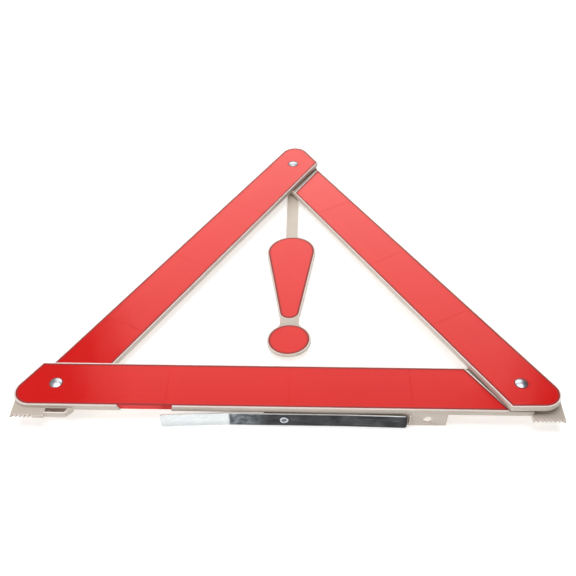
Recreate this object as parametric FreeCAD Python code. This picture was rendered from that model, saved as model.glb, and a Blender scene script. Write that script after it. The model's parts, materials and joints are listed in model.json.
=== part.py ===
import FreeCAD, Part
import math
import os
from FreeCAD import Placement, Rotation, Vector

os.makedirs("parts", exist_ok=True)

# Folding roadside warning triangle, lying on its back. All sizes are in millimetres.
# Three equal arms overlap in a ring: each arm's head lies over the tongue of the next one.
# In an arm's own frame X runs from the head pivot to the tongue pivot, Y points to the inside
# of the triangle, and Z = 0 is the front face.

# Triangle and levels
SPACING = 370.0          # distance between neighbouring pivots
ARM_T = 4.9              # thickness of an arm
ARM_GAP = 1.45           # clear height between a head and the tongue beneath it
RISE = ARM_T + ARM_GAP   # a head lies this much higher than a tongue
SLOPE = RISE / SPACING
ARM_LENGTH = math.hypot(SPACING, RISE)
COS30 = math.cos(math.radians(30))
SIN30 = math.sin(math.radians(30))
HEIGHT = SPACING * COS30
OVER = 1.0               # cutting tools reach this far past a surface, joined solids into each other

# Arm outline
HALF_WIDTH = 22.0        # inner and outer edge of an arm from the line of its pivots
BASE_OUTER = 23.6        # the base arm is this deep on its outer side
HEAD_CUT = 24.3          # slanted end of a head, from its pivot
HEAD_RADIUS = 14.5       # rounding of a head's pointed corner
CORNER_RADIUS = 1.5

# Lens seat
RIM = 1.0                # frame rim around a lens
BASE_RIM = 1.5           # the base arm's outer rim
EDGES = {                # depth of an arm's outer side, and the rim on it
    "base": (BASE_OUTER, BASE_RIM),
    "left": (HALF_WIDTH, RIM),
    "right": (HALF_WIDTH, RIM),
}
LENS_END = {             # end of the lens at its outer and inner edge, from the tongue pivot
    "base": (21.5, 25.3),
    "left": (25.3, 25.3),
    "right": (25.3, 26.4),
}
TONGUE_STEP = 0.9        # a tongue is sunk this far inside its rims, around its boss
LENS_T = 3.9
LENS_FACE = 2.2          # front wall of the hollow lens
LENS_WALL = 1.4
LENS_FIT = 0.05          # play between lens and rim
RIB_WIDTH = 1.5
RIB_HEIGHT = 1.5
RIB_PITCH = 50.0
RIB_START = 30.0
BOSS_RADIUS = 6.5
BOSS_FIT = 0.3
GATES = (95.0, 275.0)    # moulding gates on the back, from the head pivot
GATE_RADIUS = 2.6
GATE_DEPTH = 0.35
GATE_STUB = (0.8, 0.2)   # radius and height of what is left of the sprue

# Rivets
SHANK = 2.0
FIXED_FIT = 0.02
RUNNING_FIT = 0.06
DOME_RADIUS = 4.85
DOME_HEIGHT = 1.65
SEAT_RADIUS = 4.95
SEAT_DEPTH = 0.3         # more than the lean of a rivet takes across its seat
SPACER_RADIUS = 6.0
SPACER_T = 0.95
WEB = 2.4                # tongue left standing around a pivot
POCKET_RADIUS = 8.5
WASHER_T = 0.5
WASHER_RADIUS = 5.4
PLAY = 0.05
TAIL_RADIUS = 3.4
TAIL_HEIGHT = 1.1

# Latch at the open corner
SLOT_HALF = 2.35         # half width of the hook slot
SLOT_ANGLE = 20.0        # direction in which the stud leaves the slot
LATCH_PLAY = 1.25
TONGUE_RELIEF_X = 14.0   # the base tongue is thinned from here, before its pivot
TONGUE_RELIEF_Y = 8.5    # and this far below its pivot
BASE_SHOULDER = (7.0, 11.0)       # its squared outer edge: past the pivot, and below it

# Feet of the base arm
FOOT_T = 2.1
LEFT_FOOT = (-29.3, -3.1)
LEFT_TEETH = 5
LEFT_DEPTH = 32.4        # lower edge of the left foot, from the line of the pivots
RIGHT_FOOT = (5.0, 30.4)
RIGHT_TEETH = 7
RIGHT_DEPTH = 30.1
TOOTH_PITCH = 3.3
TOOTH_DEPTH = 1.9
TOOTH_MARGIN = 1.0

# Strap slot beside the left foot
SLOT_BOX = (-6.0, 18.6, 13.2)     # left end, right end at the arm, right end outside
SLOT_OUTER = 29.3
SLOT_TOP = 2.6
SLOT_BOTTOM = 7.4
SLOT_HOLE = (-5.2, 14.6, 12.4)    # left end, right end at the arm, right end outside
SLOT_HOLE_Y = (24.1, 28.2)
SLOT_CORNER = 1.0

# Notch in the base rim and skirt under it
NOTCH = (52.6, 96.3)     # its ends at the front
NOTCH_BACK = (55.4, 95.2)         # and at the back
SKIRT_T = 1.4
SKIRT = (167.5, 311.5, 310.5)     # left end, right end at the arm, right end below
SKIRT_DEPTH = 17.5
HANGING_HOLE = (295.6, 11.2)
HANGING_RADIUS = 3.4
LIP = (281.2, 282.4)
LIP_Z = (5.5, 15.0)
LIP_PROUD = 1.9

# Steel foot strip, pivoted on the skirt
STRIP_PIVOT = (183.5, 11.2)
STRIP_ENDS = (97.0, 96.0)         # to its left and right end, from the pivot
STRIP_WIDTH = 13.5
STRIP_T = 1.0
STRIP_FLAT = 45.0
STRIP_BEND_LEFT = 3.0
STRIP_BEND_RIGHT = 0.9
STRIP_CORNER = 2.5
FOOT_BOSS = 0.5
FOOT_BOSS_RADIUS = 4.6
FOOT_WASHER_T = 0.4
EYELET_SHANK = 2.3
EYELET_BORE = 1.75
EYELET_HEAD = 3.4
EYELET_HEAD_T = 0.55
EYELET_ROLL = 3.1
EYELET_ROLL_T = 0.5
EYELET_SINK = 0.9
EYELET_SINK_RADIUS = 3.3

# Exclamation mark, hung on the apex rivet
MARK_GAP = 0.8
MARK_T = 3.0
HANGER_HALF = 5.75
HANGER_END = 7.5
STROKE_TOP = (137.8, 21.9)        # centre of the big round end from the pivot, lens radius
STROKE_FOOT = (223.9, 8.3)
DOT = (258.9, 17.6)
NECK_HALF = 8.5
NECK_FILLET = 6.0
MARK_LENS_T = 2.1
MARK_RIM = 1.5

# Lying on its back, the triangle rests on the foot strip and on the apex rivet
STRIP_LOWEST = STRIP_PIVOT[1] + STRIP_WIDTH / 2


def rounded(points):
    """A closed face in the XY plane from (x, y, corner radius) points."""
    edges = []
    ends = []
    count = len(points)
    for index, (x, y, radius) in enumerate(points):
        here = Vector(x, y, 0)
        before = Vector(points[index - 1][0], points[index - 1][1], 0)
        after = Vector(points[(index + 1) % count][0], points[(index + 1) % count][1], 0)
        to_before = (before - here).normalize()
        to_after = (after - here).normalize()
        if radius == 0:
            ends.append((here, here, None))
            continue
        half = to_before.getAngle(to_after) / 2
        reach = radius / math.tan(half)
        middle = (to_before + to_after).normalize() * (radius / math.sin(half) - radius)
        ends.append((here + to_before * reach, here + to_after * reach, here + middle))
    for index, (start, stop, middle) in enumerate(ends):
        if middle is not None:
            edges.append(Part.Arc(start, middle, stop).toShape())
        following = ends[(index + 1) % count][0]
        if stop.distanceToPoint(following) > 1e-6:
            edges.append(Part.LineSegment(stop, following).toShape())
    return Part.Face(Part.Wire(edges))


def slab(face, bottom, top):
    """A face of the XY plane made into a plate between two heights."""
    lifted = face.copy()
    lifted.translate(Vector(0, 0, bottom))
    return lifted.extrude(Vector(0, 0, top - bottom))


def disc(radius, bottom, top, x=0.0, y=0.0):
    return Part.makeCylinder(radius, top - bottom, Vector(x, y, bottom))


def ring(outer, inner, bottom, top):
    return disc(outer, bottom, top).cut(disc(inner, bottom, top))


def box(low, high):
    size = [b - a for a, b in zip(low, high)]
    return Part.makeBox(*size, Vector(*low))


def across(radius, x, z, y_from, y_to):
    """A cylinder along Y, as for a hole through the skirt."""
    return Part.makeCylinder(radius, y_to - y_from, Vector(x, y_from, z), Vector(0, 1, 0))


# Placements: the triangle's mean plane is horizontal while the arms are laid out

LEFT_CORNER = Vector(-SPACING / 2, 0, 0)
RIGHT_CORNER = Vector(SPACING / 2, 0, 0)
APEX = Vector(0, HEIGHT, 0)


def arm_placement(head, tongue):
    along = (tongue - head - Vector(0, 0, RISE)).normalize()
    inward = Vector(0, 0, 1).cross(along).normalize()
    return Placement(head + Vector(0, 0, RISE), Rotation(along, inward, along.cross(inward), "XYZ"))


def pivot_placement(corner, lean):
    """Frame on a rivet's line; the line leans outward in the plan direction given."""
    heading = math.radians(lean)
    line = Vector(2 * SLOPE * math.cos(heading), 2 * SLOPE * math.sin(heading), 1)
    return Placement(corner, Rotation(Vector(0, 0, 1), line))


LAID_OUT = {
    "base": arm_placement(LEFT_CORNER, RIGHT_CORNER),
    "left": arm_placement(APEX, LEFT_CORNER),
    "right": arm_placement(RIGHT_CORNER, APEX),
    "left_pivot": pivot_placement(LEFT_CORNER, -60),
    "right_pivot": pivot_placement(RIGHT_CORNER, 60),
    "apex_pivot": pivot_placement(APEX, 180),
}
BASE_FRAME = LAID_OUT["base"].inverse()

# Ends of the apex rivet's stack, measured along its line from the front of the tongue
MARK_FRONT = -ARM_T - MARK_GAP
MARK_BACK = MARK_FRONT - MARK_T
APEX_TAIL = MARK_BACK - PLAY - WASHER_T - TAIL_HEIGHT


def lying():
    """Turn about the base arm that brings strip and apex rivet down to one flat surface."""
    tail = BASE_FRAME.multVec(LAID_OUT["apex_pivot"].multVec(Vector(0, 0, APEX_TAIL)))
    strip_y = -BASE_OUTER - FOOT_BOSS - FOOT_WASHER_T - STRIP_T
    angle = math.atan2(tail.z + STRIP_LOWEST, tail.y - strip_y)
    turn = Rotation(Vector(1, 0, 0), -math.degrees(angle))
    lowest = turn.multVec(Vector(0, strip_y, -STRIP_LOWEST)).z
    middle = turn.multVec(Vector(ARM_LENGTH / 2, HEIGHT / 2, 0))
    return Placement(Vector(-middle.x, -middle.y, -lowest), turn)


LYING = lying()


def place(shape, frame):
    """A shape from an arm's or a pivot's own frame to its place in the finished triangle."""
    moved = shape.copy()
    moved.Placement = LYING.multiply(BASE_FRAME).multiply(LAID_OUT[frame]).multiply(moved.Placement)
    return moved


def in_arm(shape, arm, pivot):
    """A tool on a rivet's line, seen from the frame of an arm."""
    tool = shape.copy()
    tool.Placement = LAID_OUT[arm].inverse().multiply(LAID_OUT[pivot]).multiply(tool.Placement)
    return tool


# Arms

def head_x(y, cut):
    """X of the slanted head end at height y."""
    return (SIN30 * y - cut) / COS30


def tongue_x(y, cut):
    """X of a slanted line before the tongue pivot at height y."""
    return ARM_LENGTH - (cut + SIN30 * y) / COS30


def arm_outline(outer):
    """Arm with a pointed head and a half-round tongue."""
    head = [(head_x(-outer, HEAD_CUT), -outer, HEAD_RADIUS),
            (ARM_LENGTH, -outer, 0), (ARM_LENGTH, HALF_WIDTH, 0),
            (head_x(HALF_WIDTH, HEAD_CUT), HALF_WIDTH, CORNER_RADIUS)]
    return rounded(head)


def lens_outline(arm, inset):
    """Outline of a lens or its seat, inset from the frame's rim."""
    outer, outer_rim = EDGES[arm]
    outer_end, inner_end = LENS_END[arm]
    top = HALF_WIDTH - RIM - inset
    bottom = -outer + outer_rim + inset
    head = HEAD_CUT - RIM - inset
    radius = HEAD_RADIUS - RIM - inset
    return rounded([(head_x(bottom, head), bottom, radius),
                    (tongue_x(bottom, outer_end + inset), bottom, RIM),
                    (tongue_x(top, inner_end + inset), top, RIM), (head_x(top, head), top, RIM)])


def tongue_step(arm):
    """Sunk front of a tongue inside its rims, around a boss that keeps the full height."""
    outer, outer_rim = EDGES[arm]
    outer_end, inner_end = LENS_END[arm]
    top = HALF_WIDTH - RIM
    bottom = -outer + outer_rim
    far = ARM_LENGTH + HALF_WIDTH
    area = rounded([(tongue_x(bottom, outer_end - RIM), bottom, 0), (far, bottom, 0),
                    (far, top, 0), (tongue_x(top, inner_end - RIM), top, 0)])
    plan = box((0, -outer, -TONGUE_STEP), (ARM_LENGTH, outer, OVER))
    plan = plan.fuse(disc(HALF_WIDTH - RIM, -TONGUE_STEP, OVER, ARM_LENGTH))
    step = slab(area, -TONGUE_STEP, OVER).common(plan)
    return step.cut(disc(POCKET_RADIUS, -TONGUE_STEP - OVER, 2 * OVER, ARM_LENGTH))


def gates(body):
    """Sunk moulding gates in the back of an arm, each with the stub of its sprue."""
    stub_radius, stub_height = GATE_STUB
    roof = -ARM_T + GATE_DEPTH
    for x in GATES:
        body = body.cut(disc(GATE_RADIUS, -ARM_T - OVER, roof, x))
        body = body.fuse(disc(stub_radius, roof - stub_height, roof, x))
    return body


def arm_frame(arm):
    """Shallow tray for a lens, with its tongue, before its pivots are cut."""
    outer = EDGES[arm][0]
    body = slab(arm_outline(outer), -ARM_T, 0)
    body = body.fuse(disc(HALF_WIDTH, -ARM_T, 0, ARM_LENGTH))
    body = body.cut(slab(lens_outline(arm, 0), -LENS_T, OVER)).cut(tongue_step(arm))
    floor = -LENS_T
    top = floor + RIB_HEIGHT
    inside = slab(lens_outline(arm, LENS_WALL + BOSS_FIT), floor, top)
    ribs = [box((head_x(0, 0), -RIB_WIDTH / 2, floor), (ARM_LENGTH, RIB_WIDTH / 2, top))]
    x = RIB_START
    while x < ARM_LENGTH:
        ribs.append(box((x, -outer, floor), (x + RIB_WIDTH, outer, top)))
        x += RIB_PITCH
    net = ribs[0].multiFuse(ribs[1:]).common(inside)
    boss = disc(BOSS_RADIUS, floor, -LENS_FACE)
    return gates(body.multiFuse([net, boss]))


def arm_lens(arm, pivot):
    """Hollow reflector: a front wall with a skirt that stands on the tray's floor."""
    lens = slab(lens_outline(arm, LENS_FIT), -LENS_T, 0)
    hollow = slab(lens_outline(arm, LENS_FIT + LENS_WALL), -LENS_T, -LENS_FACE)
    lens = lens.cut(hollow)
    lens = lens.cut(in_arm(disc(SHANK + RUNNING_FIT, -ARM_T, RISE + OVER), arm, pivot))
    return lens.cut(in_arm(disc(SEAT_RADIUS, RISE - SEAT_DEPTH, RISE + OVER), arm, pivot))


def head_hole(frame, arm, pivot):
    """Hole that holds a rivet in a head."""
    return frame.cut(in_arm(disc(SHANK + FIXED_FIT, 0, RISE + OVER), arm, pivot))


def tongue_hole(frame, arm, pivot):
    """Running hole in a tongue, and the pocket behind it for washer and rivet tail."""
    hole = disc(SHANK + RUNNING_FIT, -ARM_T - OVER, OVER)
    pocket = disc(POCKET_RADIUS, -ARM_T - OVER, -WEB)
    return frame.cut(in_arm(hole.fuse(pocket), arm, pivot))


def side_arm(name, head_pivot, tongue_pivot):
    """Frame of the left or right arm."""
    frame = head_hole(arm_frame(name), name, head_pivot)
    return tongue_hole(frame, name, tongue_pivot)


# Base arm

def foot_outline(ends, depth, teeth):
    """Foot plate whose lower edge is toothed for grip, from its outer end."""
    left, right = ends
    points = [(left, -TONGUE_RELIEF_Y, 0), (left, -depth, 0)]
    for index in range(teeth):
        x = left + TOOTH_MARGIN + index * TOOTH_PITCH
        points.append((x, -depth, 0))
        points.append((x + TOOTH_PITCH / 2, -depth + TOOTH_DEPTH, 0))
    points.append((left + TOOTH_MARGIN + teeth * TOOTH_PITCH, -depth, 0))
    points.append((right, -depth, 0))
    points.append((right, -TONGUE_RELIEF_Y, 0))
    return rounded(points)


def feet():
    left = foot_outline(LEFT_FOOT, LEFT_DEPTH, LEFT_TEETH)
    right = foot_outline(RIGHT_FOOT, RIGHT_DEPTH, RIGHT_TEETH)
    right.translate(Vector(ARM_LENGTH, 0, 0))
    seat = slab(lens_outline("base", 0), -LENS_T, OVER)
    return [slab(plate, -ARM_T, -ARM_T + FOOT_T).cut(seat) for plate in (left, right)]


def strap_slot():
    left, right, outside = SLOT_BOX
    root = -BASE_OUTER + OVER
    plan = rounded([(left, root, 0), (left, -SLOT_OUTER, 0), (outside, -SLOT_OUTER, SLOT_CORNER),
                    (right, -BASE_OUTER, 0), (right, root, 0)])
    body = slab(plan, -SLOT_BOTTOM, -SLOT_TOP)
    inner = box((left, -BASE_OUTER, -SLOT_BOTTOM), (right, root, -ARM_T))
    near, far = SLOT_HOLE_Y
    hole_left, hole_right, hole_outside = SLOT_HOLE
    hole = rounded([(hole_left, -near, 0), (hole_left, -far, 0),
                    (hole_outside, -far, 0), (hole_right, -near, 0)])
    return body.cut(inner).cut(slab(hole, -SLOT_BOTTOM - OVER, 0))


def skirt():
    left, right, lower = SKIRT
    side = Part.makePolygon([Vector(left, 0, 0), Vector(left, 0, -SKIRT_DEPTH),
                             Vector(lower, 0, -SKIRT_DEPTH), Vector(right, 0, 0),
                             Vector(left, 0, 0)])
    sheet = Part.Face(side)
    sheet.translate(Vector(0, -BASE_OUTER, 0))
    plate = sheet.extrude(Vector(0, SKIRT_T, 0))
    x, z = STRIP_PIVOT
    boss = across(FOOT_BOSS_RADIUS, x, -z, -BASE_OUTER - FOOT_BOSS, -BASE_OUTER)
    lip = box((LIP[0], -BASE_OUTER - LIP_PROUD, -LIP_Z[1]), (LIP[1], -BASE_OUTER, -LIP_Z[0]))
    plate = plate.multiFuse([boss, lip])
    inner = -BASE_OUTER + SKIRT_T
    sink = across(EYELET_SINK_RADIUS, x, -z, inner - EYELET_SINK, inner + OVER)
    bore = across(EYELET_SHANK + FIXED_FIT, x, -z, -BASE_OUTER - OVER, inner + OVER)
    hole_x, hole_z = HANGING_HOLE
    hole = across(HANGING_RADIUS, hole_x, -hole_z, -BASE_OUTER - OVER, inner + OVER)
    return plate.cut(sink.multiFuse([bore, hole]))


def notch_key(play):
    """The part of the base lens that fills the notch down to the back, or the room for it."""
    start, stop = NOTCH_BACK
    edge = -BASE_OUTER + BASE_RIM
    return box((start - play, edge, -ARM_T - OVER),
               (stop + play, edge + LENS_FIT + LENS_WALL + play, -LENS_T))


def notch():
    """Opening in the base arm's outer rim, wider at the front than at the back."""
    corners = [Vector(NOTCH[0], 0, 0), Vector(NOTCH[1], 0, 0), Vector(NOTCH_BACK[1], 0, -ARM_T),
               Vector(NOTCH_BACK[0], 0, -ARM_T)]
    side = Part.Face(Part.makePolygon(corners + corners[:1]))
    side.translate(Vector(0, -BASE_OUTER - OVER, 0))
    return side.extrude(Vector(0, OVER + BASE_RIM, 0))


def base_lens():
    key = notch_key(0).common(box((0, -BASE_OUTER + BASE_RIM + LENS_FIT, -ARM_T), (ARM_LENGTH, 0, 0)))
    return arm_lens("base", "left_pivot").fuse(key).removeSplitter()


def base_arm():
    frame = arm_frame("base")
    # the half-round tongue has a squared shoulder as far as the deeper outer edge
    past, below = BASE_SHOULDER
    shoulder = box((ARM_LENGTH - OVER, -BASE_OUTER, -ARM_T), (ARM_LENGTH + past, -below, 0))
    frame = frame.fuse(shoulder)
    relief = box((ARM_LENGTH - TONGUE_RELIEF_X, -TONGUE_RELIEF_Y, -ARM_T - OVER),
                 (ARM_LENGTH + 2 * HALF_WIDTH, 2 * HALF_WIDTH, -WEB))
    frame = frame.cut(relief)
    hook = box((0, -SLOT_HALF, -ARM_T - OVER), (2 * HALF_WIDTH, SLOT_HALF, OVER))
    hook = hook.fuse(disc(SLOT_HALF, -ARM_T - OVER, OVER))
    hook.rotate(Vector(0, 0, 0), Vector(0, 0, 1), SLOT_ANGLE)
    hook.translate(Vector(ARM_LENGTH, 0, 0))
    frame = frame.cut(hook)
    frame = head_hole(frame, "base", "left_pivot")
    frame = frame.cut(notch()).cut(notch_key(LENS_FIT))
    return frame.multiFuse(feet() + [strap_slot(), skirt()]).removeSplitter()


# Fasteners, along a rivet's line; heights are measured from the front of the tongue

def turned(profile):
    """A turned piece from (radius, height) points and arcs given as ("arc", mid, end)."""
    edges = []
    here = Vector(profile[0][0], 0, profile[0][1])
    for item in profile[1:]:
        if item[0] == "arc":
            middle = Vector(item[1][0], 0, item[1][1])
            end = Vector(item[2][0], 0, item[2][1])
            edges.append(Part.Arc(here, middle, end).toShape())
        else:
            end = Vector(item[0], 0, item[1])
            edges.append(Part.LineSegment(here, end).toShape())
        here = end
    face = Part.Face(Part.Wire(edges))
    return face.revolve(Vector(0, 0, 0), Vector(0, 0, 1), 360)


def cap_point(radius, height, share):
    """Point on a spherical cap of this rim radius and height, part way up."""
    sphere = (radius ** 2 + height ** 2) / (2 * height)
    angle = math.asin(radius / sphere) * (1 - share)
    return sphere * math.sin(angle), sphere * math.cos(angle) - (sphere - height)


def rivet(seat, tail_top):
    """Domed rivet, set over a washer whose back is at tail_top."""
    dome_x, dome_z = cap_point(DOME_RADIUS, DOME_HEIGHT, 0.5)
    tail_x, tail_z = cap_point(TAIL_RADIUS, TAIL_HEIGHT, 0.5)
    return turned([(0, tail_top - TAIL_HEIGHT),
                   ("arc", (tail_x, tail_top - tail_z), (TAIL_RADIUS, tail_top)),
                   (SHANK, tail_top), (SHANK, seat), (DOME_RADIUS, seat),
                   ("arc", (dome_x, seat + dome_z), (0, seat + DOME_HEIGHT)),
                   (0, tail_top - TAIL_HEIGHT)])


def washer(radius, bore, bottom, thickness):
    return ring(radius, bore, bottom, bottom + thickness)


def corner_fasteners():
    """Rivets, spacers and washers of the three corners."""
    seat = RISE - SEAT_DEPTH
    spacer_bottom = (ARM_GAP - SPACER_T) / 2
    spacer = washer(SPACER_RADIUS, SHANK, spacer_bottom, SPACER_T)
    pivot_washer = -WEB - PLAY - WASHER_T
    latch_washer = -WEB - LATCH_PLAY - WASHER_T
    apex_washer = MARK_BACK - PLAY - WASHER_T
    mark_spacer = MARK_FRONT + PLAY
    back = washer(WASHER_RADIUS, SHANK, 0, WASHER_T)
    return {
        "left_rivet": (rivet(seat, pivot_washer), "left_pivot"),
        "left_spacer": (spacer, "left_pivot"),
        "left_back_washer": (lifted(back, pivot_washer), "left_pivot"),
        "latch_stud": (rivet(seat, latch_washer), "right_pivot"),
        "latch_catch_washer": (lifted(back, latch_washer), "right_pivot"),
        "apex_rivet": (rivet(seat, apex_washer), "apex_pivot"),
        "apex_spacer": (spacer, "apex_pivot"),
        "mark_spacer": (washer(WASHER_RADIUS, SHANK, mark_spacer, -WEB - PLAY - mark_spacer),
                        "apex_pivot"),
        "apex_back_washer": (lifted(back, apex_washer), "apex_pivot"),
    }


def lifted(shape, height):
    moved = shape.copy()
    moved.translate(Vector(0, 0, height))
    return moved


# Exclamation mark, in the apex pivot's frame, turned so that X runs down the mark

def drop(first, second, grow):
    """Outline around two circles on the X axis, given as (centre, radius)."""
    (x1, r1), (x2, r2) = first, second
    r1 += grow
    r2 += grow
    side = math.acos((r1 - r2) / (x2 - x1))
    up = Vector(math.cos(side), math.sin(side), 0)
    down = Vector(up.x, -up.y, 0)
    one = Vector(x1, 0, 0)
    two = Vector(x2, 0, 0)
    edges = [Part.Arc(one + down * r1, one - Vector(r1, 0, 0), one + up * r1).toShape(),
             Part.LineSegment(one + up * r1, two + up * r2).toShape(),
             Part.Arc(two + up * r2, two + Vector(r2, 0, 0), two + down * r2).toShape(),
             Part.LineSegment(two + down * r2, one + down * r1).toShape()]
    return Part.Face(Part.Wire(edges))


def neck():
    """Flat neck between stroke and dot, flared into the dot with a fillet on each side."""
    dot = DOT[1] + MARK_RIM
    side = NECK_HALF + NECK_FILLET
    centre = Vector(DOT[0] - math.sqrt((dot + NECK_FILLET) ** 2 - side ** 2), side, 0)
    to_dot = (Vector(DOT[0], 0, 0) - centre).normalize() * NECK_FILLET
    start = Vector(centre.x, NECK_HALF, 0)
    stop = centre + to_dot
    between = centre + (to_dot.normalize() - Vector(0, 1, 0)).normalize() * NECK_FILLET
    corners = [Vector(STROKE_FOOT[0], NECK_HALF, 0), start, between, stop, Vector(DOT[0], stop.y, 0)]
    lower = [Vector(p.x, -p.y, 0) for p in corners]
    edges = [Part.LineSegment(lower[0], corners[0]).toShape(),
             Part.LineSegment(corners[4], lower[4]).toShape()]
    for p in (corners, lower):
        edges.append(Part.LineSegment(p[0], p[1]).toShape())
        edges.append(Part.Arc(p[1], p[2], p[3]).toShape())
        edges.append(Part.LineSegment(p[3], p[4]).toShape())
    return Part.Face(Part.Wire(Part.__sortEdges__(edges)))


def mark_turn(shape):
    """From the mark's own X axis to its place, pointing at the base."""
    moved = shape.copy()
    moved.rotate(Vector(0, 0, 0), Vector(0, 0, 1), -90)
    return moved


def mark_frame():
    back, front = MARK_BACK, MARK_FRONT
    hanger = box((0, -HANGER_HALF, back), (STROKE_TOP[0], HANGER_HALF, front))
    eye = disc(HANGER_END, back, front)
    stroke = slab(drop(STROKE_TOP, STROKE_FOOT, MARK_RIM), back, front)
    dot = disc(DOT[1] + MARK_RIM, back, front, DOT[0])
    body = hanger.multiFuse([eye, stroke, dot, slab(neck(), back, front)])
    seat = front - MARK_LENS_T
    body = body.cut(slab(drop(STROKE_TOP, STROKE_FOOT, 0), seat, front + OVER))
    body = body.cut(disc(DOT[1], seat, front + OVER, DOT[0]))
    body = body.cut(disc(SHANK + RUNNING_FIT, back - OVER, front + OVER))
    return mark_turn(body.removeSplitter())


def stroke_lens():
    return mark_turn(slab(drop(STROKE_TOP, STROKE_FOOT, -LENS_FIT), MARK_FRONT - MARK_LENS_T, MARK_FRONT))


def dot_lens():
    return mark_turn(disc(DOT[1] - LENS_FIT, MARK_FRONT - MARK_LENS_T, MARK_FRONT, DOT[0]))


# Foot strip with its eyelet, in the base arm's frame

def strip_inner():
    return -BASE_OUTER - FOOT_BOSS - FOOT_WASHER_T - 2 * PLAY


def foot_strip():
    x, z = STRIP_PIVOT
    inner = strip_inner()
    left = x - STRIP_ENDS[0]
    right = x + STRIP_ENDS[1]
    line = [(left, inner - STRIP_BEND_LEFT), (x - STRIP_FLAT, inner),
            (x + STRIP_FLAT, inner), (right, inner - STRIP_BEND_RIGHT)]
    back = [Vector(px, py, 0) for px, py in line]
    front = [Vector(px, py - STRIP_T, 0) for px, py in reversed(line)]
    plan = Part.Face(Part.makePolygon(back + front + [back[0]]))
    plan.translate(Vector(0, 0, -z - STRIP_WIDTH / 2))
    strip = plan.extrude(Vector(0, 0, STRIP_WIDTH))
    half = STRIP_WIDTH / 2
    ends = rounded([(left, -z - half, STRIP_CORNER), (right, -z - half, STRIP_CORNER),
                    (right, -z + half, STRIP_CORNER), (left, -z + half, STRIP_CORNER)])
    ends.rotate(Vector(0, 0, 0), Vector(1, 0, 0), 90)
    ends.translate(Vector(0, inner + OVER, 0))
    trimmed = strip.common(ends.extrude(Vector(0, -BASE_OUTER, 0)))
    return trimmed.cut(across(EYELET_SHANK + RUNNING_FIT, x, -z, inner - 2 * STRIP_T, inner + OVER))


def eyelet():
    """Tubular rivet: rolled edge sunk in the skirt, flat head over the strip."""
    x, z = STRIP_PIVOT
    head_back = strip_inner() - STRIP_T - PLAY
    head_front = head_back - EYELET_HEAD_T
    roll_front = -BASE_OUTER + SKIRT_T - EYELET_SINK
    roll_back = roll_front + EYELET_ROLL_T
    tube = across(EYELET_SHANK, x, -z, head_front, roll_back)
    head = across(EYELET_HEAD, x, -z, head_front, head_back)
    roll = across(EYELET_ROLL, x, -z, roll_front, roll_back)
    bore = across(EYELET_BORE, x, -z, head_front - OVER, roll_back + OVER)
    return tube.multiFuse([head, roll]).cut(bore).removeSplitter()


def foot_washer():
    x, z = STRIP_PIVOT
    near = -BASE_OUTER - FOOT_BOSS - PLAY
    outer = across(FOOT_BOSS_RADIUS, x, -z, near - FOOT_WASHER_T, near)
    return outer.cut(across(EYELET_SHANK + FIXED_FIT, x, -z, near - OVER, near + OVER))


def all_pieces():
    pieces = {
        "base_frame": (base_arm(), "base"),
        "base_lens": (base_lens(), "base"),
        "left_frame": (side_arm("left", "apex_pivot", "left_pivot"), "left"),
        "left_lens": (arm_lens("left", "apex_pivot"), "left"),
        "right_frame": (side_arm("right", "right_pivot", "apex_pivot"), "right"),
        "right_lens": (arm_lens("right", "right_pivot"), "right"),
        "mark_frame": (mark_frame(), "apex_pivot"),
        "mark_stroke_lens": (stroke_lens(), "apex_pivot"),
        "mark_dot_lens": (dot_lens(), "apex_pivot"),
        "foot_strip": (foot_strip(), "base"),
        "foot_eyelet": (eyelet(), "base"),
        "foot_washer": (foot_washer(), "base"),
    }
    pieces.update(corner_fasteners())
    return pieces


for node, (shape, frame) in all_pieces().items():
    placed = place(shape, frame)
    solids = placed.Solids
    print(node, "solids", len(solids), "valid", placed.isValid(), "mm3", round(placed.Volume, 1))
    solid = solids[0] if len(solids) == 1 else Part.makeCompound(solids)
    solid.exportStep("parts/" + node + ".step")
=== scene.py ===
import json
import math

import bmesh
import bpy
from mathutils import Matrix, Vector, geometry


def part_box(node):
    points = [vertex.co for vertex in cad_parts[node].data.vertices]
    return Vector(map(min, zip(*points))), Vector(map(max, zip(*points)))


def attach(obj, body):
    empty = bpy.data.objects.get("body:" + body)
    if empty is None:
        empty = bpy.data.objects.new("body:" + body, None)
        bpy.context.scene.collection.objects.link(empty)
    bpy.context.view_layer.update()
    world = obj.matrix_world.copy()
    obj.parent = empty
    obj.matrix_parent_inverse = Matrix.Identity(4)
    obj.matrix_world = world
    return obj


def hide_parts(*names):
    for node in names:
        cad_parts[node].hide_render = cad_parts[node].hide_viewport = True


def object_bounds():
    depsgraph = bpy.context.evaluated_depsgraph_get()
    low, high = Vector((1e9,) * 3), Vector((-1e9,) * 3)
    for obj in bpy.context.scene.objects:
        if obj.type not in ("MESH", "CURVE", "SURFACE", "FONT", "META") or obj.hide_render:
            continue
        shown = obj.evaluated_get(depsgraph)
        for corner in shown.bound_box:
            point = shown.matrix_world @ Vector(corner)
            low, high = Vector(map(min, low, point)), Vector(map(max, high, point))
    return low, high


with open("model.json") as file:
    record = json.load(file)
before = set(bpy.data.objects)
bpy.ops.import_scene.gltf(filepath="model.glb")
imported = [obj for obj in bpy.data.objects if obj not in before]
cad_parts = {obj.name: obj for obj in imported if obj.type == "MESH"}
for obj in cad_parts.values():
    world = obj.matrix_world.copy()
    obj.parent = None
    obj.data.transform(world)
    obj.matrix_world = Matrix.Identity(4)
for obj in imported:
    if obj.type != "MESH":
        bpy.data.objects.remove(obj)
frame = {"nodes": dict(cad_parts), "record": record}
cad_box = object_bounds()
nodes = frame["nodes"]

# Folding roadside warning triangle, lying on its back. Sizes are in metres.

MM = 0.001
UP = Vector((0, 0, 1))

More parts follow.
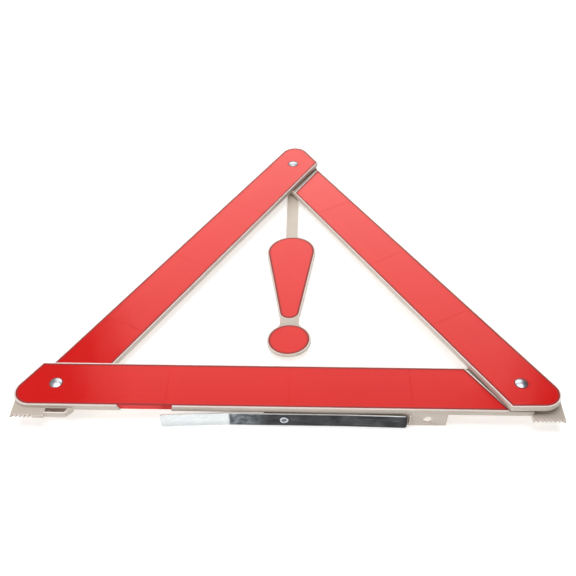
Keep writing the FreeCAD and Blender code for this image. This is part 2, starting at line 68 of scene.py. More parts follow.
# Reflectors
LENS_EDGE = 0.22 * MM        # chamfer around a reflector
LAND = 1.4 * MM              # plain border inside the chamfer
SEAT_LAND = 0.9 * MM         # plain ring around a rivet
PRISM = 1.25 * MM            # spacing of the corner points of the prisms
PRISM_STEP = 0.014 * MM      # height from one corner class to the next
PRISM_CLEAR = 0.35 * PRISM   # prisms stop this far from a border
MIDDLE_FACET_SHADE = 0.5               # painted shade of a face that isn't part of a whole prism
FIRST_BLOCK = 118 * MM       # moulded blocks of prisms, from the head end of an arm
BLOCK = 97 * MM
LAST_BLOCK = 25 * MM
SEAM = 0.16 * MM             # half width of the joint between two blocks
SEAM_DEPTH = 0.06 * MM

# Rivets
DOME_HEIGHT = 1.65 * MM
DOME_RADIUS = 4.85 * MM
DOME_EDGE = 0.5 * MM         # upright edge under the dome
DIE_RING = 2.7 * MM          # ring left by the riveting die
DIE_WIDTH = 0.12 * DIE_RING  # how wide the ring is, and how deep
DIE_DEPTH = 0.04 * MM
DOME_STEPS = 40
SHANK = 2.0 * MM
TAIL_RADIUS = 3.4 * MM
TAIL_HEIGHT = 1.1 * MM
TAIL_EDGE = 0.1 * MM         # the flat upper side of a tail stops this far inside its radius
TAIL_CURL = 0.45             # share of a tail's height above the middle of its curl
HOLLOW_RADIUS = 0.9 * MM     # floor of the hollow end of a tail
HOLLOW_RIM = 0.25 * MM       # level of the floor below the tail's upper side, at its rim
HOLLOW_MIDDLE = 0.2 * MM     # and at its middle

# Eyelet of the foot strip
EYELET_BORE = 1.95 * MM
EYELET_HEAD = 3.4 * MM
EYELET_HEAD_T = 0.55 * MM
EYELET_SHANK = 2.3 * MM
EYELET_ROLL = 3.1 * MM
EYELET_ROLL_T = 0.5 * MM

# Painted shade in the strap slot, around the middle of the slot
SLOT_SHIFT = 0.7 * MM
SLOT_HALF_LENGTH = 9.4 * MM
SLOT_HALF_WIDTH = 2.2 * MM
SLOT_LIP = 2.1 * MM
SLOT_END_FADE = 0.2 * MM     # the painted shade fades out over these distances
SLOT_SIDE_FADE = 0.15 * MM
SLOT_LIP_FADE = 0.5 * MM

# Soft edges of the other pieces
PLASTIC_EDGE = 0.28 * MM
STEEL_EDGE = 0.12 * MM
EDGE_STEPS = 2
EDGE_ANGLE = math.radians(35)       # sharper edges than this are rounded
FLAT_ANGLE = math.radians(0.4)      # faces that meet flatter than this are joined
SHARP_ANGLE = math.radians(50)      # sharper edges than this stay sharp on a turned piece

# Tolerances
WELD = 0.001 * MM
SHORTEST = 10 * WELD         # shorter sides of an inset ring are dropped
FACING_COSINE = 0.9
FLAT_COSINE = 0.9999
SAME_PLANE = 0.02 * MM
IN_HOLE = 0.99               # a triangle with its middle within this share of a hole's radius is left out
ROUND_STEPS = 96


# Reading the frame

def welded(node):
    """A copy of a node's mesh with its split vertices joined."""
    shape = bmesh.new()
    shape.from_mesh(nodes[node].data)
    bmesh.ops.remove_doubles(shape, verts=shape.verts, dist=WELD)
    shape.normal_update()
    return shape


def plane_faces(shape, towards):
    """Normal and faces of the largest plane that looks in a direction."""
    facing = [f for f in shape.faces if f.normal.dot(towards) > FACING_COSINE]
    largest = max(facing, key=lambda f: f.calc_area())
    normal = largest.normal.copy()
    level = largest.verts[0].co.dot(normal)
    return normal, [f for f in facing if f.normal.dot(normal) > FLAT_COSINE
                    and abs(f.verts[0].co.dot(normal) - level) < SAME_PLANE]


def rings_around(faces):
    """Rings of vertices around a patch of faces, the outer one first."""
    patch = set(faces)
    after = {}
    for face in faces:
        for loop in face.loops:
            if sum(f in patch for f in loop.edge.link_faces) == 1:
                after[loop.vert] = loop.link_loop_next.vert
    rings = []
    while after:
        start, vert = after.popitem()
        ring = [start]
        while vert is not start:
            ring.append(vert)
            vert = after.pop(vert)
        rings.append(ring)
    rings.sort(key=lambda ring: -max((v.co - ring[0].co).length for v in ring))
    return rings


def turning_line(node, towards):
    """Centre and direction of a round node, from its flat face on one side."""
    shape = welded(node)
    normal, faces = plane_faces(shape, towards)
    ring = rings_around(faces)[0]
    centre = sum((v.co for v in ring), Vector()) / len(ring)
    shape.free()
    return centre, normal


def reach(node, centre, direction):
    """How far a node reaches along a line, below and above a point."""
    along = [(v.co - centre).dot(direction) for v in nodes[node].data.vertices]
    return min(along), max(along)


# Building pieces

def piece(name, shape, stands_for, body, materials):
    """An object that rides on a body and stands for a CAD node."""
    mesh = bpy.data.meshes.new(name)
    shape.to_mesh(mesh)
    shape.free()
    for material in materials:
        mesh.materials.append(material)
    made = bpy.data.objects.new(name, mesh)
    bpy.context.scene.collection.objects.link(made)
    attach(made, body)
    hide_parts(stands_for)
    return made


def soften(node, width):
    """Rounds the sharp edges of a node."""
    part = nodes[node]
    weld = part.modifiers.new("weld", "WELD")
    weld.merge_threshold = WELD
    flat = part.modifiers.new("flat", "DECIMATE")
    flat.decimate_type = "DISSOLVE"
    flat.angle_limit = FLAT_ANGLE
    edge = part.modifiers.new("edge", "BEVEL")
    edge.width = width
    edge.segments = EDGE_STEPS
    edge.limit_method = "ANGLE"
    edge.angle_limit = EDGE_ANGLE
    edge.harden_normals = True
    part.data.shade_smooth()


def paint(node, material):
    """Gives all of a node one material."""
    slots = nodes[node].material_slots
    if not slots:
        nodes[node].data.materials.append(material)
    for slot in slots:
        slot.material = material


# Reflectors

def inset(ring, distance):
    """A convex anticlockwise ring moved inward, by cutting along each of its sides."""
    kept = list(ring)
    for index, corner in enumerate(ring):
        side = (corner - ring[index - 1]).normalized()
        inward = Vector((-side.y, side.x))
        depths = [(p - corner).dot(inward) - distance for p in kept]
        cut = []
        for k, here in enumerate(kept):
            if depths[k - 1] * depths[k] < 0:
                cut.append(kept[k - 1].lerp(here, depths[k - 1] / (depths[k - 1] - depths[k])))
            if depths[k] >= 0:
                cut.append(here)
        kept = cut
    return [p for k, p in enumerate(kept) if (p - kept[k - 1]).length > SHORTEST]


def spaced(ring, step):
    """Points of a ring with its long sides divided."""
    points = []
    for index, here in enumerate(ring):
        after = ring[(index + 1) % len(ring)]
        count = max(1, round((after - here).length / step))
        points += [here.lerp(after, k / count) for k in range(count)]
    return points


def inside(point, ring, margin):
    """Whether a point lies within a convex anticlockwise ring, by a margin."""
    for index, here in enumerate(ring):
        along = (here - ring[index - 1]).normalized()
        across = point - ring[index - 1]
        if along.x * across.y - along.y * across.x < margin:
            return False
    return True


def crossings(ring, x):
    """Lowest and highest Y where a convex ring crosses a line of constant X."""
    found = []
    for index, here in enumerate(ring):
        before = ring[index - 1]
        if (before.x - x) * (here.x - x) <= 0 and before.x != here.x:
            found.append(before.y + (here.y - before.y) * (x - before.x) / (here.x - before.x))
    return min(found), max(found)


def lattice(low, high, half, upright):
    """Points of a triangular lattice between two X values, with their height class."""
    row = PRISM * math.sqrt(3) / 2
    radius = max((high - low) / 2, half)
    rows = math.ceil(radius / row)
    for j in range(-rows, rows + 1):
        span = math.ceil(radius / PRISM + abs(j) / 2)
        for i in range(-span, span + 1):
            along = (i + j / 2) * PRISM
            x, y = (j * row, along) if upright else (along, j * row)
            x += (low + high) / 2
            if low <= x <= high and abs(y) <= half:
                yield Vector((x, y)), (i - j) % 3


class Front:
    """Points and lines of a reflector's front, in its own plane, for the triangulation."""

    def __init__(self):
        self.points = []
        self.heights = []
        self.levels = []
        self.lines = []

    def add(self, point, height, level=None):
        self.points.append(point)
        self.heights.append(height)
        self.levels.append(level)

    def chain(self, points, height, closed):
        first = len(self.points)
        for point in points:
            self.add(point, height)
        last = len(self.points) - 1
        self.lines += [(k, k + 1) for k in range(first, last)]
        if closed:
            self.lines.append((last, first))


def lens_place(rings, normal):
    """Matrix of a reflector's own frame: X along it away from the rivet, Z to the front."""
    outline = rings[0]
    pairs = zip(outline, outline[1:] + outline[:1])
    first, second = max(pairs, key=lambda pair: (pair[1].co - pair[0].co).length)
    along = (second.co - first.co).normalized()
    middle = sum((v.co for v in outline), Vector()) / len(outline)
    if len(rings) > 1 and (rings[1][0].co - middle).dot(along) > 0:
        along.negate()
    turn = Matrix((along, normal.cross(along), normal)).transposed().to_4x4()
    return Matrix.Translation(middle) @ turn


def seams(border):
    """X values of the joints between the moulded blocks of prisms."""
    left = min(p.x for p in border)
    right = max(p.x for p in border)
    x = left + FIRST_BLOCK
    found = []
    while x < right - LAST_BLOCK:
        found.append(x)
        x += BLOCK
    return left, right, found


def add_seam(front, border, x):
    """A shallow groove across a reflector, between two blocks."""
    low, high = crossings(border, x)
    low += LAND / 2
    high -= LAND / 2
    steps = math.ceil((high - low) / (2 * PRISM))
    for shift, height in ((-SEAM, 0.0), (0.0, -SEAM_DEPTH), (SEAM, 0.0)):
        line = [Vector((x + shift, low + (high - low) * s / steps)) for s in range(steps + 1)]
        front.chain(line, height, False)


def prism_tone(corners, front):
    """Which of the three faces of a prism a triangle belongs to: 0, 0.5 or 1, for its painted shade."""
    by_level = {front.levels[k]: front.points[k] for k in corners}
    if set(by_level) != {0, 1, 2}:
        return MIDDLE_FACET_SHADE
    rise = by_level[2] - by_level[0]
    return round(math.atan2(rise.y, rise.x) / math.radians(60)) % 3 / 2


def round_holes(holes):
    """Centre and radius of each round hole of a reflector."""
    circles = []
    for hole in holes:
        centre = sum(hole, Vector((0, 0))) / len(hole)
        circles.append((centre, (hole[0] - centre).length))
    return circles


def add_rings(front, outline, holes, circles, border):
    """Outline, holes, chamfer and borders, in this order."""
    front.chain(outline, -LENS_EDGE, True)
    for hole in holes:
        front.chain(hole, 0.0, True)
    front.chain(inset(outline, LENS_EDGE), 0.0, True)
    front.chain(spaced(border, PRISM), 0.0, True)
    turns = [math.tau * k / ROUND_STEPS for k in range(ROUND_STEPS)]
    for centre, radius in circles:
        front.chain([centre + Vector((math.cos(a), math.sin(a))) * (radius + SEAT_LAND)
                     for a in turns], 0.0, True)


def add_prisms(front, outline, circles, border):
    """Joints between the blocks, and the corner points of the prisms in each block."""
    left, right, joints = seams(border)
    half = max(abs(p.y) for p in border)
    for x in joints:
        add_seam(front, border, x)
    ends = [left] + joints + [right]
    for index, (low, high) in enumerate(zip(ends, ends[1:])):
        low += SEAM + PRISM_CLEAR
        high -= SEAM + PRISM_CLEAR
        for point, level in lattice(low, high, half, index % 2 == 0):
            clear = all((point - c).length > r + SEAT_LAND + PRISM_CLEAR for c, r in circles)
            if clear and inside(point, outline, LENS_EDGE + LAND + PRISM_CLEAR):
                front.add(point, (level - 2) * PRISM_STEP, level)


def fill_front(shape, front, kept, circles, plain):
    """Faces of the front. Its first points are the kept vertices, those before plain its borders."""
    spots, _, triangles, sources, _, _ = geometry.delaunay_2d_cdt(
        front.points, front.lines, [], 1, WELD / 100)
    facet_shade = shape.faces.layers.float.new("prism_tone")
    verts = []
    for spot, source in zip(spots, sources):
        if source and source[0] < len(kept):
            verts.append(kept[source[0]])
        else:
            height = front.heights[source[0]] if source else 0.0
            verts.append(shape.verts.new((spot.x, spot.y, height)))
    for corners in triangles:
        middle = sum((spots[k] for k in corners), Vector((0, 0))) / 3
        if any((middle - c).length < r * IN_HOLE for c, r in circles):
            continue
        face = shape.faces.new([verts[k] for k in corners])
        origins = [sources[k][0] if sources[k] else plain for k in corners]
        face.material_index = 1 if max(origins) < plain else 0
        whole = min(origins) >= plain and all(sources[k] for k in corners)
        face[facet_shade] = prism_tone(origins, front) if whole else MIDDLE_FACET_SHADE


def lens(node, body, materials):
    """A reflector whose front is a field of low prisms inside a plain border."""
    shape = welded(node)
    normal, faces = plane_faces(shape, UP)
    rings = rings_around(faces)
    place = lens_place(rings, normal)
    bmesh.ops.delete(shape, geom=faces, context="FACES_ONLY")
    shape.transform(place.inverted())
    outline, *holes = [[v.co.to_2d() for v in ring] for ring in rings]
    for vert in rings[0]:
        vert.co.z -= LENS_EDGE
    kept = [v for ring in rings for v in ring]
    border = inset(outline, LENS_EDGE + LAND)
    circles = round_holes(holes)

    front = Front()
    add_rings(front, outline, holes, circles, border)
    plain = len(front.points)
    add_prisms(front, outline, circles, border)
    fill_front(shape, front, kept, circles, plain)
    bmesh.ops.recalc_face_normals(shape, faces=shape.faces)
    shape.transform(place)
    return piece(node + "_prisms", shape, node, body, materials)


# Turned pieces

def curve(centre, radii, start, stop, steps):
    """Profile points along an elliptic arc; angles in degrees from outward to upward."""
    turns = [math.radians(start + (stop - start) * k / steps) for k in range(steps + 1)]
    return [(centre[0] + radii[0] * math.cos(a), centre[1] + radii[1] * math.sin(a)) for a in turns]


def lathe(profile, closed):
    """A turned solid from (radius, height) points, listed from its top outward and down."""
    shape = bmesh.new()
    turns = [math.tau * k / ROUND_STEPS for k in range(ROUND_STEPS)]
    rings = []
    for radius, height in profile:
        if radius < WELD:
            rings.append([shape.verts.new((0, 0, height))])
        else:
            rings.append([shape.verts.new((radius * math.cos(a), radius * math.sin(a), height))
                          for a in turns])
    pairs = list(zip(rings, rings[1:]))
    if closed:
        pairs.append((rings[-1], rings[0]))
    for upper, lower in pairs:
        for k in range(ROUND_STEPS):
            n = (k + 1) % ROUND_STEPS
            corners = [upper[k % len(upper)], lower[k % len(lower)],
                       lower[n % len(lower)], upper[n % len(upper)]]
            shape.faces.new(dict.fromkeys(corners))
    bmesh.ops.recalc_face_normals(shape, faces=shape.faces)
    return shape


def dome_profile(seat):
    """Cap with the ring of the riveting die, and a rounded edge down to its seat."""
    height = DOME_HEIGHT - DOME_EDGE
    radius = DOME_RADIUS - DOME_EDGE / 2
    sphere = (radius ** 2 + height ** 2) / (2 * height)
    widest = math.asin(radius / sphere)
    points = []
    for k in range(DOME_STEPS + 1):
        angle = widest * k / DOME_STEPS
        across = sphere * math.sin(angle)
        dip = DIE_DEPTH * math.exp(-((across - DIE_RING) / DIE_WIDTH) ** 2)
        points.append((across, seat + DOME_EDGE + sphere * math.cos(angle) - sphere + height - dip))
    edge = curve((radius, seat + DOME_EDGE / 2), (DOME_EDGE / 2, DOME_EDGE / 2), 80, -90, 8)
    return points + edge


def turned(node, body, material, profile, closed, centre, line):
    """A turned piece on its line, smooth except at its sharp edges."""
    shape = lathe(profile, closed)
    shape.transform(Matrix.Translation(centre) @ line.to_track_quat("Z", "Y").to_matrix().to_4x4())
    made = piece(node + "_turned", shape, node, body, [material])
    made.data.shade_smooth()
    made.data.set_sharp_from_angle(angle=SHARP_ANGLE)
    return made


def rivet(node, washer, body, material):
    """Domed rivet with a curled tail, on the line of the washer under its tail."""
    centre, line = turning_line(washer, UP)
    low, high = reach(node, centre, line)
    seat = high - DOME_HEIGHT
    tail_top = low + TAIL_HEIGHT
    curl = curve((TAIL_RADIUS - TAIL_HEIGHT, tail_top - TAIL_HEIGHT * TAIL_CURL),
                 (TAIL_HEIGHT, TAIL_HEIGHT * (1 - TAIL_CURL)), 20, -160, 16)
    profile = dome_profile(seat)
    profile += [(SHANK, seat), (SHANK, tail_top), (TAIL_RADIUS - TAIL_EDGE, tail_top)]
    profile += curl + [(HOLLOW_RADIUS, tail_top - HOLLOW_RIM), (0, tail_top - HOLLOW_MIDDLE)]
    return turned(node, body, material, profile, False, centre, line)


def rolled(inner, outer, level, height, side):
    """Rounded outer edge and inner lip of a flange: side is 1 in front, -1 behind."""
    middle = level - side * height / 2
    edge = curve((outer - height / 2, middle), (height / 2, height / 2), 90, -90, 12)
    angles = (180, 90) if side > 0 else (-90, -180)
    lip = curve((inner + height, level - side * height), (height, height), *angles, 8)
    return edge, lip


def eyelet(node, washer, body, material):
    """Tubular rivet with a rounded flange in front and a rolled edge behind."""
    centre, line = turning_line(washer, Vector((0, -1, 0)))
    low, high = reach(node, centre, line)
    flange, lip = rolled(EYELET_BORE, EYELET_HEAD, high, EYELET_HEAD_T, 1)
    roll, foot = rolled(EYELET_BORE, EYELET_ROLL, low, EYELET_ROLL_T, -1)
    shank = [(EYELET_SHANK, high - EYELET_HEAD_T), (EYELET_SHANK, low + EYELET_ROLL_T)]
    return turned(node, body, material, lip + flange + shank + roll + foot, True, centre, line)


# Materials

NOISE = (0.3, 0.7)                   # most values of a noise lie between these
CREAM_TONES = (0.60, 0.525, 0.455), (0.64, 0.565, 0.495)
SPECK_COLOUR = (0.42, 0.33, 0.25)
SPECK_SHARE = 0.12
# painted highlight on thin plastic edges that face up
EDGE_HIGHLIGHT_COLOUR = (0.98, 0.87, 0.84)
THIN_WALL = 1.3 * MM                 # plastic thinner than about this gets a painted highlight where it faces up
# painted shade, brown, in gaps and between parts
GAP_SHADE_COLOUR = (0.24, 0.15, 0.085)
GAP_WIDTH = 7 * MM                   # gaps up to about this width get painted shade
GAP_SHADE_STRENGTH = 0.9                      # how strong the painted shade is at the bottom of a gap
# painted shade inside the strap slot
SLOT_SHADE_COLOUR = (0.20, 0.10, 0.05)
# painted shade on steel in gaps and between parts, and how far it reaches
STEEL_GAP_SHADE = (0.03, 0.025, 0.02)
STEEL_SHADE_REACH = 4 * MM
BARE_STEEL = (0.60, 0.63, 0.64), (0.80, 0.83, 0.84)
# painted dark reflection on the strip, half dark at first, then darkest
DARK_REFLECTION_TONES = (0.036, 0.037, 0.040), (0.075, 0.077, 0.082)
HALF_DARK_REFLECTION_TONES = (0.085, 0.095, 0.105), (0.26, 0.29, 0.31)
DARK_REFLECTION_STARTS = (0.274, 0.285)       # where the painted dark reflection starts and deepens, along the strip, as shares of its length from its left end
DARK_REFLECTION_DEEPENS = (0.30, 0.46)
RUBBED = (0.5, 0.5, 0.5)
SHEARED = (0.62, 0.63, 0.62)
SHEARED_EDGE = (0.55 * MM, 0.35 * MM)      # below the top: bare steel starts, and all is bare


class Shader:
    """A node material under construction."""

    def __init__(self, name):
        self.material = bpy.data.materials.new(name)
        self.material.use_nodes = True
        self.tree = self.material.node_tree
        self.surface = self.tree.nodes["Principled BSDF"]
        self.coordinates = self.add("TexCoord")
        self.place = self.coordinates.outputs["Object"]

    def add(self, kind, inputs=(), **settings):
        made = self.tree.nodes.new("ShaderNode" + kind)
        for key, value in settings.items():
            setattr(made, key, value)
        for key, value in dict(inputs).items():
            self.feed(made.inputs[key], value)
        return made

    def feed(self, socket, value):
        if isinstance(value, bpy.types.NodeSocket):
            self.tree.links.new(value, socket)
        elif isinstance(value, tuple) and len(value) == 3 and socket.type == "RGBA":
            socket.default_value = (*value, 1.0)
        else:
            socket.default_value = value

    def set(self, **values):
        for key, value in values.items():
            self.feed(self.surface.inputs[key.replace("_", " ")], value)

    def math(self, operation, first, second=0.5, third=0.5):
        made = self.add("Math", {0: first, 1: second, 2: third}, operation=operation)
        return made.outputs[0]

    def mix(self, factor, first, second):
        """A mix of two colours, in the colour sockets of the Mix node."""
        made = self.add("Mix", data_type="RGBA")
        self.feed(made.inputs[0], factor)
        self.feed(made.inputs[6], first)
        self.feed(made.inputs[7], second)
        return made.outputs[2]

    def ramp(self, value, low, high, out_low=0.0, out_high=1.0):
        made = self.add("MapRange", {0: value, 1: low, 2: high, 3: out_low, 4: out_high},
                        interpolation_type="SMOOTHSTEP")
        return made.outputs[0]

    def stretched(self, scale):
        """Object coordinates multiplied along each axis, in cycles per metre."""
        return self.add("VectorMath", {0: self.place, 1: scale}, operation="MULTIPLY").outputs[0]

    def noise(self, size, detail=3.0, stretch=(1, 1, 1)):
        """Noise whose blotches are about this size in metres."""
        vector = self.stretched(tuple(s / size for s in stretch))
        return self.add("TexNoise", {"Vector": vector, "Scale": 1.0, "Detail": detail}).outputs[0]

    def axis(self, index):
        return self.add("SeparateXYZ", {0: self.place}).outputs[index]

    def bump(self, height, distance, strength=1.0):
        made = self.add("Bump", {"Height": height, "Distance": distance, "Strength": strength})
        return made.outputs["Normal"]


def strap_slot_shade(s):
    """1 on the walls inside the strap slot, under its lip, where painted shade goes."""
    centre = next(m["pos_m"] for m in frame["record"]["mounts"] if m["name"] == "strap_slot")
    along = s.math("ABSOLUTE", s.math("SUBTRACT", s.axis(0), centre[0] + SLOT_SHIFT))
    across = s.math("ABSOLUTE", s.math("SUBTRACT", s.axis(1), centre[1]))
    above = s.math("SUBTRACT", s.axis(2), centre[2])
    plan = s.math("MULTIPLY", s.ramp(along, SLOT_HALF_LENGTH, SLOT_HALF_LENGTH + SLOT_END_FADE, 1.0, 0.0),
                  s.ramp(across, SLOT_HALF_WIDTH, SLOT_HALF_WIDTH + SLOT_SIDE_FADE, 1.0, 0.0))
    return s.math("MULTIPLY", plan, s.ramp(above, SLOT_LIP - SLOT_LIP_FADE, SLOT_LIP, 1.0, 0.0))


def cream_plastic():
    """Moulded plastic: fine grain, faint specks, a painted highlight on thin edges that face up, painted
    shade in gaps and in the strap slot.
    """
    s = Shader("cream_plastic")
    cloud = s.ramp(s.noise(60 * MM), 0.35, 0.65)
    body = s.mix(cloud, *CREAM_TONES)
    speck = s.ramp(s.noise(2.2 * MM, 4), 0.62, 0.75)
    dirty = s.mix(s.math("MULTIPLY", speck, SPECK_SHARE), body, SPECK_COLOUR)
    thick = s.add("AmbientOcclusion", {"Distance": THIN_WALL}, inside=True, only_local=True)
    edge = s.ramp(thick.outputs["AO"], 0.45, 0.9, 1.0, 0.0)
    front = s.ramp(s.add("SeparateXYZ", {0: s.coordinates.outputs["Normal"]}).outputs[2], 0.6, 0.9)
    # Painted highlight: thin edges that face up are lightened towards a pale pink.
    edge_highlight = s.math("MULTIPLY", edge, s.math("MULTIPLY_ADD", front, 0.95, 0.05))
    with_edge_highlight = s.mix(edge_highlight, dirty, EDGE_HIGHLIGHT_COLOUR)
    # Painted shade: darker brown where ambient occlusion finds nearby surfaces, in gaps and between
    # parts.
    open_sky = s.add("AmbientOcclusion", {"Distance": GAP_WIDTH}).outputs["AO"]
    gap_shaded = s.mix(s.ramp(open_sky, 0.15, 0.56, GAP_SHADE_STRENGTH, 0.0), with_edge_highlight, GAP_SHADE_COLOUR)
    # Painted shade: the walls inside the strap slot are painted dark brown, a little uneven.
    slot_shade = s.math("MULTIPLY", strap_slot_shade(s), s.ramp(s.noise(3 * MM), 0.2, 0.6, 0.7, 1.0))
    s.set(Base_Color=s.mix(slot_shade, gap_shaded, SLOT_SHADE_COLOUR))
    s.set(Roughness=s.ramp(s.noise(4 * MM), *NOISE, 0.36, 0.5))
    s.set(Normal=s.bump(s.noise(0.45 * MM, 2), 0.03 * MM, 0.35))
    s.set(Subsurface_Weight=0.06, Subsurface_Scale=2 * MM, Specular_IOR_Level=0.45)
    return s.material


def reflector(name, deep, bright, metallic, roughness):
    """Clear red plastic, each face of a prism painted a little lighter or darker by which way it faces.
    """
    s = Shader(name)
    facet_shade = s.add("Attribute", attribute_name="prism_tone").outputs["Fac"]
    cloud = s.noise(45 * MM, 2)
    fine = s.noise(1.3 * MM, 2)
    clouds = s.math("MULTIPLY_ADD", cloud, 0.45, s.math("MULTIPLY", fine, 0.25))
    # Painted shade: faces of the prisms are lighter or darker by which way they face, under random cloudy
    # tone.
    share = s.math("MULTIPLY_ADD", facet_shade, 0.35, clouds)
    s.set(Base_Color=s.mix(share, deep, bright), Metallic=metallic)
    s.set(Roughness=s.ramp(s.noise(18 * MM), *NOISE, roughness, roughness + 0.08))
    scuff = s.noise(0.8 * MM, 5, (0.08, 1, 1))
    s.set(Normal=s.bump(scuff, 0.01 * MM, 0.15))
    return s.material


def steel(name, low, high, roughness):
    """Plated steel with a soft bloom, a fine grain and painted shade in its gaps."""
    s = Shader(name)
    bloom = s.ramp(s.noise(3 * MM), 0.35, 0.7)
    # Painted shade: the steel is darkened where ambient occlusion finds nearby surfaces.
    open_sky = s.add("AmbientOcclusion", {"Distance": STEEL_SHADE_REACH}).outputs["AO"]
    gap_shade = s.ramp(open_sky, 0.15, 0.6, GAP_SHADE_STRENGTH, 0.0)
    s.set(Base_Color=s.mix(gap_shade, s.mix(bloom, low, high), STEEL_GAP_SHADE), Metallic=1.0)
    s.set(Roughness=s.ramp(s.noise(1.1 * MM, 4), *NOISE, roughness, roughness + 0.12))
    s.set(Normal=s.bump(s.noise(0.5 * MM, 3), 0.006 * MM, 0.4))
    return s.material


def nylon():
    """Uncoloured nylon of the spacers."""
    s = Shader("natural_nylon")
    s.set(Base_Color=s.mix(s.noise(2 * MM), (0.66, 0.63, 0.56), (0.76, 0.74, 0.68)))
    s.set(Roughness=s.ramp(s.noise(1 * MM), *NOISE, 0.35, 0.5))
    s.set(Subsurface_Weight=0.15, Subsurface_Scale=1 * MM)
    return s.material


def strip_steel():
    """Steel strip, brushed along its length: a painted dark reflection covers it except at its left end,
    its sheared edge bare.
    """
    low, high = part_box("foot_strip")
    s = Shader("strip_steel")

    def along(share):
        return low.x + share * (high.x - low.x)

    brushed = s.noise(0.35 * MM, 3, (0.02, 1, 1))
    streak = s.noise(1.6 * MM, 3, (0.05, 1, 1))
    cloud = s.noise(14 * MM, 4)
    bare = s.mix(cloud, *BARE_STEEL)
    # Painted reflection: from about a quarter of its length the strip is painted dark, deepening towards
    # the right.
    dark_reflection = s.mix(s.ramp(cloud, 0.4, 0.75), *DARK_REFLECTION_TONES)
    half_dark_reflection = s.mix(s.ramp(s.noise(5 * MM, 4), 0.35, 0.7), *HALF_DARK_REFLECTION_TONES)
    reflection_deepening = s.ramp(s.axis(0), along(DARK_REFLECTION_DEEPENS[0]), along(DARK_REFLECTION_DEEPENS[1]))
    dark_reflection_share = s.ramp(s.axis(0), along(DARK_REFLECTION_STARTS[0]), along(DARK_REFLECTION_STARTS[1]))
    body = s.mix(dark_reflection_share, bare, s.mix(reflection_deepening, half_dark_reflection, dark_reflection))
    edge = s.ramp(s.axis(2), high.z - SHEARED_EDGE[0], high.z - SHEARED_EDGE[1])
    rubbed = s.mix(s.math("MULTIPLY", s.ramp(streak, 0.62, 0.72), 0.25), body, RUBBED)
    s.set(Base_Color=s.mix(edge, rubbed, SHEARED), Metallic=1.0)
    s.set(Roughness=s.ramp(brushed, *NOISE, 0.24, 0.4), Anisotropic=0.6)
    s.set(Normal=s.bump(brushed, 0.008 * MM, 0.5))
    return s.material


CREAM = cream_plastic()
PRISMS = reflector("red_prisms", (0.70, 0.006, 0.006), (0.79, 0.011, 0.009), 0.10, 0.07)
BORDER = reflector("red_border", (0.30, 0.005, 0.005), (0.38, 0.008, 0.007), 0.0, 0.42)
BRIGHT = steel("bright_steel", (0.52, 0.56, 0.62), (0.66, 0.69, 0.74), 0.30)
WASHER = steel("washer_steel", (0.45, 0.45, 0.44), (0.60, 0.60, 0.59), 0.3)
NYLON = nylon()
STRIP = strip_steel()


# The object

for arm in ("base", "left", "right"):
    soften(arm + "_frame", PLASTIC_EDGE)
    paint(arm + "_frame", CREAM)
    lens(arm + "_lens", arm + "_arm", [PRISMS, BORDER])
soften("mark_frame", PLASTIC_EDGE)
paint("mark_frame", CREAM)
for part in ("mark_stroke_lens", "mark_dot_lens"):
    lens(part, "exclamation_mark", [PRISMS, BORDER])

rivet("left_rivet", "left_back_washer", "base_arm", BRIGHT)
rivet("apex_rivet", "apex_back_washer", "left_arm", BRIGHT)
rivet("latch_stud", "latch_catch_washer", "right_arm", BRIGHT)
eyelet("foot_eyelet", "foot_washer", "base_arm", BRIGHT)
soften("foot_strip", STEEL_EDGE)
paint("foot_strip", STRIP)
for part in ("left_back_washer", "apex_back_washer", "latch_catch_washer", "foot_washer"):
    soften(part, STEEL_EDGE)
    paint(part, WASHER)
for part in ("left_spacer", "apex_spacer", "mark_spacer"):
    soften(part, STEEL_EDGE)
    paint(part, NYLON)


# Camera, light and floor. The camera is fitted to the edges and rivets in the photograph.

CAMERA_ELEVATION = math.radians(41.888)
CAMERA_HEADING = math.radians(1.3745)
CAMERA_ROLL = math.radians(-0.2474)
CAMERA_PLACE = Vector((0.01173, -0.59319, 0.51074))
SENSOR = 36.0
LENS_LENGTH = 51.096
FLOOR_HALF = 6.0
FLOOR_DROP = 0.2 * MM                # the floor is this far below the object
FLOOR_TONES = (0.90, 0.90, 0.90), (0.92, 0.92, 0.92)
FLOOR_CLOUD = 0.4
FLOOR_GLOW = 0.45                    # the floor glows a little, to be as white as in the photo
ROOM = (0.25, 0.06)                  # radiance of the room, and of its dark side
DARK_SIDE = (0.72, 0.45, 0.53)
DARK_RANGE = (0.3, 0.95)             # cosines to the dark side between which the room darkens


def camera():
    """The camera, at the place and angle of the photograph's."""
    data = bpy.data.cameras.new("camera")
    data.sensor_width = SENSOR
    data.lens = LENS_LENGTH
    made = bpy.data.objects.new("camera", data)
    heading = Matrix.Rotation(CAMERA_HEADING, 4, "Z")
    tilt = Matrix.Rotation(math.pi / 2 - CAMERA_ELEVATION, 4, "X")
    roll = Matrix.Rotation(CAMERA_ROLL, 4, "Z")
    made.matrix_world = Matrix.Translation(CAMERA_PLACE) @ heading @ tilt @ roll
    bpy.context.scene.collection.objects.link(made)
    bpy.context.scene.camera = made


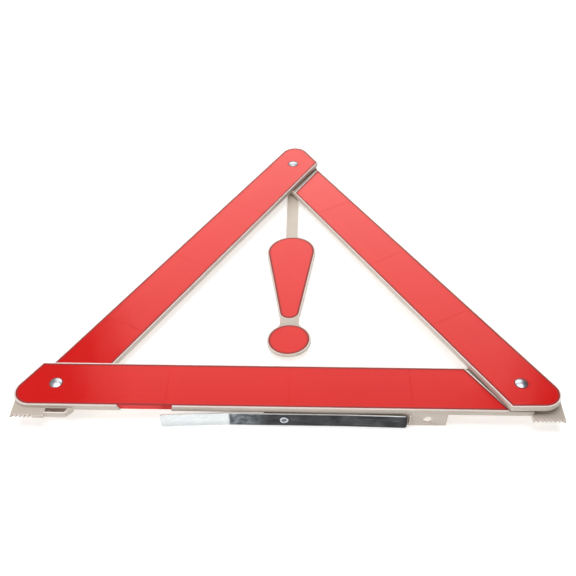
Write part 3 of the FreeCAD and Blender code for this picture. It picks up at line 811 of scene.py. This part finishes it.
def softbox(name, place, target, size, radiance, colour):
    """A rectangular light of even radiance, or of one that changes from its lower to its upper edge."""
    data = bpy.data.lights.new(name, "AREA")
    data.shape = "RECTANGLE"
    data.size, data.size_y = size
    data.energy = math.pi * size[0] * size[1]      # makes the emission's strength its radiance
    data.color = colour
    data.use_nodes = True
    tree = data.node_tree
    emission = tree.nodes["Emission"]
    place_on = tree.nodes.new("ShaderNodeNewGeometry")
    split = tree.nodes.new("ShaderNodeSeparateXYZ")
    fade = tree.nodes.new("ShaderNodeMapRange")
    fade.inputs["To Min"].default_value, fade.inputs["To Max"].default_value = radiance
    tree.links.new(place_on.outputs["Parametric"], split.inputs[0])
    tree.links.new(split.outputs["Y"], fade.inputs["Value"])
    tree.links.new(fade.outputs[0], emission.inputs["Strength"])
    made = bpy.data.objects.new(name, data)
    made.location = place
    made.visible_camera = False
    made.rotation_euler = (Vector(target) - Vector(place)).to_track_quat("-Z", "Y").to_euler()
    bpy.context.scene.collection.objects.link(made)


def floor():
    """A wide pale floor just below the object."""
    shape = bmesh.new()
    bmesh.ops.create_grid(shape, x_segments=8, y_segments=8, size=FLOOR_HALF)
    mesh = bpy.data.meshes.new("floor")
    shape.to_mesh(mesh)
    shape.free()
    s = Shader("pale_floor")
    s.set(Base_Color=s.mix(s.noise(FLOOR_CLOUD), *FLOOR_TONES), Roughness=0.9)
    s.set(Emission_Color=(1.0, 1.0, 1.0), Emission_Strength=FLOOR_GLOW)
    mesh.materials.append(s.material)
    made = bpy.data.objects.new("floor", mesh)
    made.location.z = cad_box[0].z - FLOOR_DROP
    bpy.context.scene.collection.objects.link(made)


def surroundings():
    """An even room, darker towards the back on the right."""
    world = bpy.data.worlds.new("room")
    world.use_nodes = True
    tree = world.node_tree
    heading = tree.nodes.new("ShaderNodeVectorMath")
    heading.operation = "DOT_PRODUCT"
    heading.inputs[1].default_value = DARK_SIDE
    fade = tree.nodes.new("ShaderNodeMapRange")
    fade.inputs["From Min"].default_value, fade.inputs["From Max"].default_value = DARK_RANGE
    fade.inputs["To Min"].default_value, fade.inputs["To Max"].default_value = ROOM
    tree.links.new(tree.nodes.new("ShaderNodeTexCoord").outputs["Generated"], heading.inputs[0])
    tree.links.new(heading.outputs["Value"], fade.inputs["Value"])
    tree.links.new(fade.outputs[0], tree.nodes["Background"].inputs["Strength"])
    tree.nodes["Background"].inputs["Color"].default_value = (1.0, 1.0, 1.0, 1.0)
    bpy.context.scene.world = world
    bpy.context.scene.view_settings.view_transform = "Standard"


camera()
floor()
surroundings()
softbox("overhead", place=(-0.1, -0.1, 1.6), target=(-0.1, -0.1, 0.0),
        size=(1.4, 1.0), radiance=(3.9, 3.9), colour=(1.0, 1.0, 1.0))
softbox("back", place=(0.0, 1.35, 1.2), target=(0.0, 0.0, 1.2),
        size=(1.4, 1.7), radiance=(3.0, 0.45), colour=(1.0, 0.97, 0.90))
softbox("front", place=(-0.8, -0.8, 0.5), target=(-0.1, -0.15, 0.0),
        size=(0.7, 0.5), radiance=(2.3, 2.3), colour=(1.0, 0.98, 0.96))
